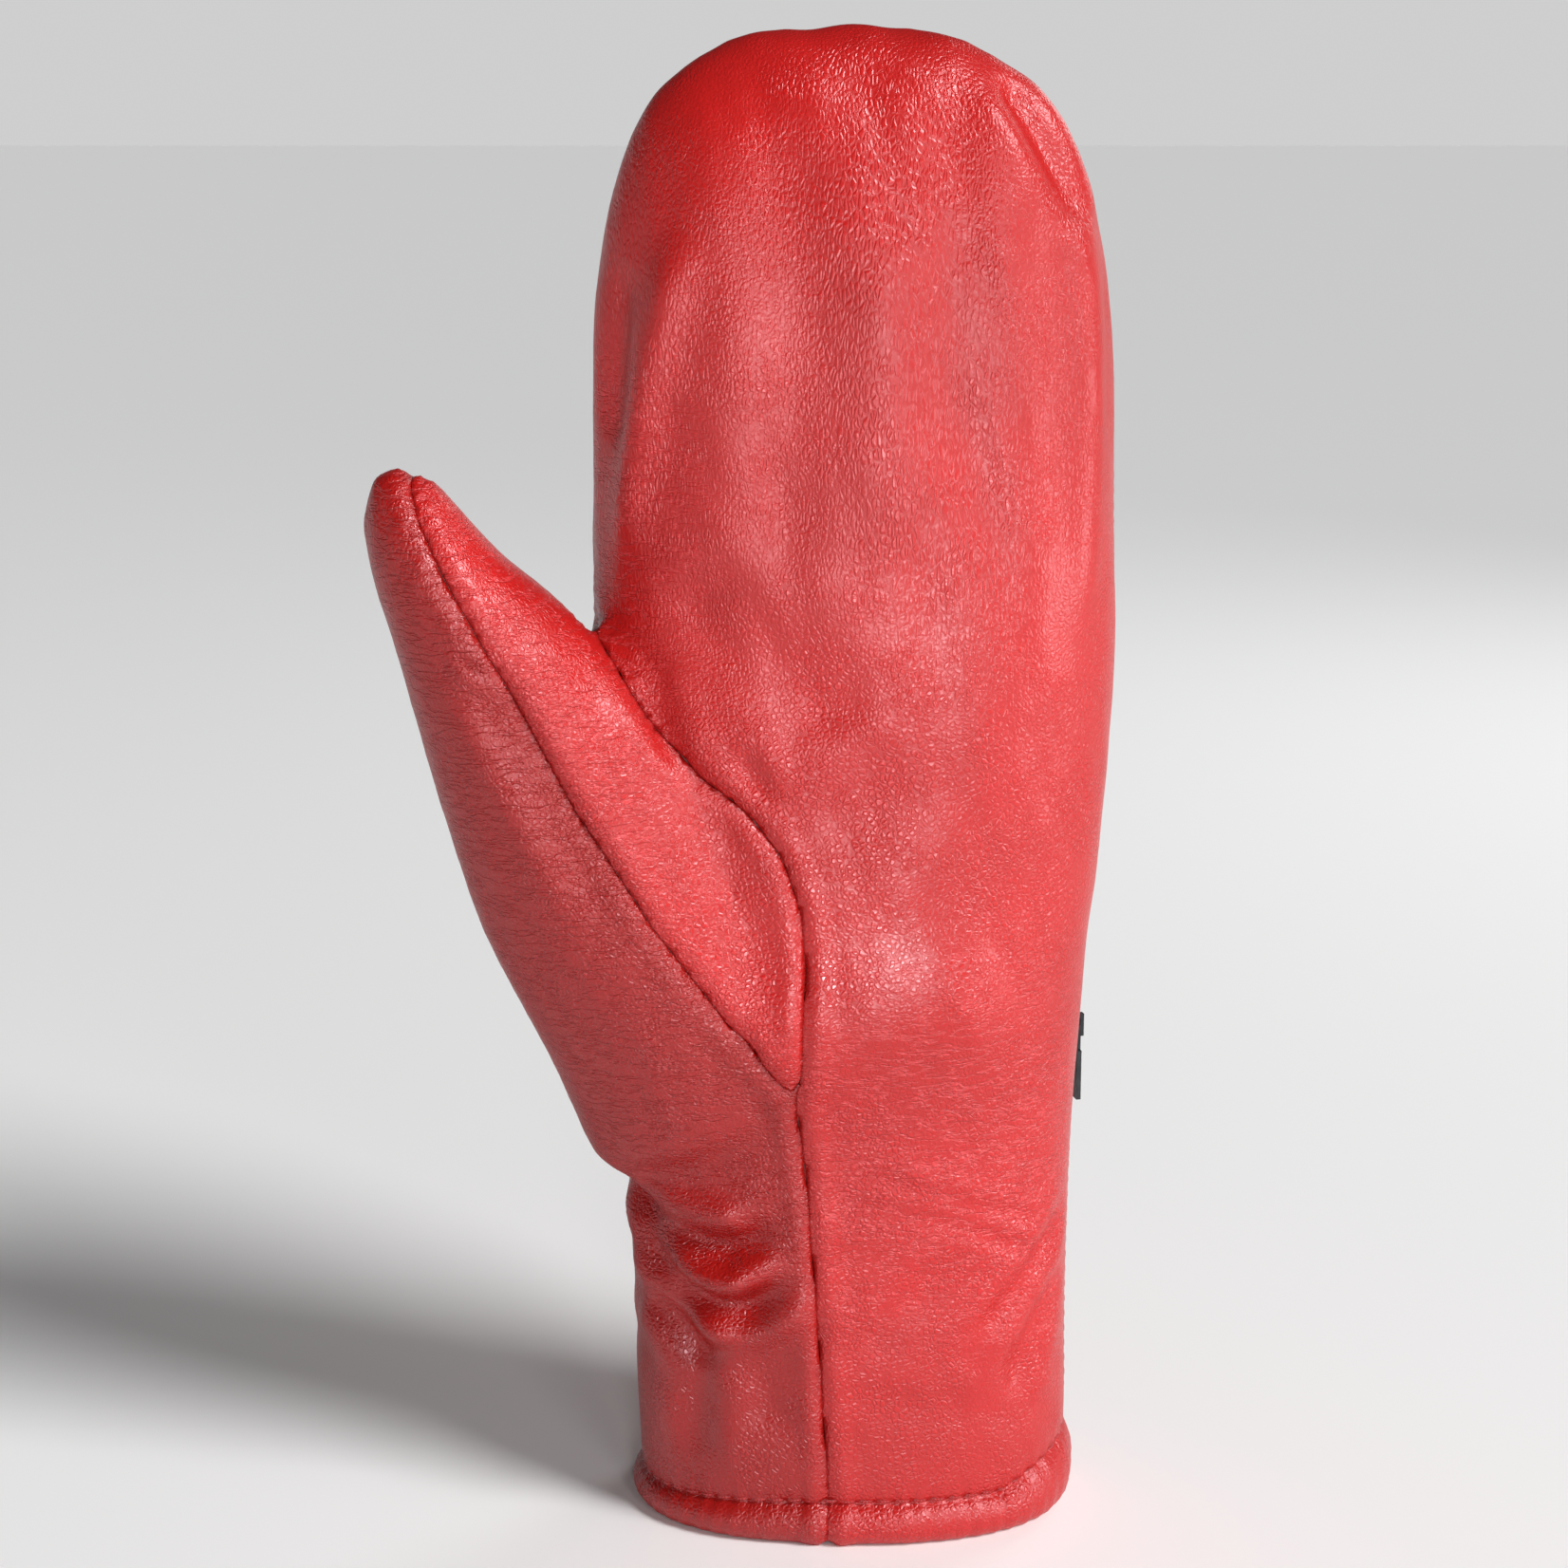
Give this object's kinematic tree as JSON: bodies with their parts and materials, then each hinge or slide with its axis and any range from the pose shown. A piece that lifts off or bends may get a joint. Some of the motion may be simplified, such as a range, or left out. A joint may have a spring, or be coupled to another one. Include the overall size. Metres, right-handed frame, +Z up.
{
  "type": "ski mitten",
  "caption": "Left-hand ski mitten of smooth red leather with a padded thumb, a turned hem at the cuff, a pile lining and a side zip for a hand warmer.",
  "frame": {"origin": "middle of the whole mitten's outline, at the bottom edge of the cuff that it stands on", "axes": "+Z up from the cuff to the fingertips, -Y out of the palm, -X towards the thumb"},
  "size_m": [0.1412, 0.0619, 0.291],
  "materials": {
    "leather": "smooth grained sheep leather, soft sheen",
    "insulation": "lofted polyester wadding",
    "lining": "short pile fleece",
    "cuff_lining": "brushed tricot",
    "facing": "rib-knit binding",
    "elastic": "woven elastic",
    "hem_tape": "woven cotton tape",
    "thread": "bonded polyester thread",
    "zip_tape": "woven polyester tape",
    "zip_teeth": "moulded acetal",
    "zip_metal": "satin black enamel",
    "pocket": "plain-weave nylon",
    "label": "blank woven satin"
  },
  "bodies": {
    "mitten": {"palm_panel": "leather", "back_panel": "leather", "thumb_palm_panel": "leather", "palm_insulation": "insulation", "back_insulation": "insulation", "thumb_insulation": "insulation", "palm_lining": "lining", "back_lining": "lining", "thumb_lining": "lining", "palm_cuff_lining": "cuff_lining", "back_cuff_lining": "cuff_lining", "wrist_elastic": "elastic", "hem_tape": "hem_tape", "cuff_facing": "facing", "size_label": "label", "hem_stitching": "thread", "zip_tape_palm": "zip_tape", "zip_tape_back": "zip_tape", "zip_teeth_palm": "zip_teeth", "zip_teeth_back": "zip_teeth", "zip_top_stop_palm": "zip_metal", "zip_top_stop_back": "zip_metal", "zip_bottom_stop": "zip_metal", "pocket_bag": "pocket"},
    "thumb_cap": {"thumb_cap_palm": "leather", "thumb_cap_back": "leather", "thumb_cap_insulation": "insulation", "thumb_cap_lining": "lining"},
    "zip_slider": {"zip_slider_crown": "zip_metal", "zip_slider_sole": "zip_metal"},
    "zip_pull": {"zip_pull": "zip_metal"}
  },
  "joints": [
    {"name": "thumb_swing", "type": "hinge", "parent": "mitten", "child": "thumb_cap", "pos_m": [-0.0373, -0.0298, 0.15], "axis": [0, 0, 1], "range_deg": [0, 35], "stiffness_Nm_per_rad": 0.05},
    {"name": "zip_slide", "type": "slide", "parent": "mitten", "child": "zip_slider", "axis": [0, 0, 1], "range_m": [-0.065, 0]},
    {"name": "zip_pull_swing", "type": "hinge", "parent": "zip_slider", "child": "zip_pull", "pos_m": [0.06574, 0.0113, 0.0965], "axis": [0.2419, -0.9703, 0], "range_deg": [0, 170]}
  ]
}
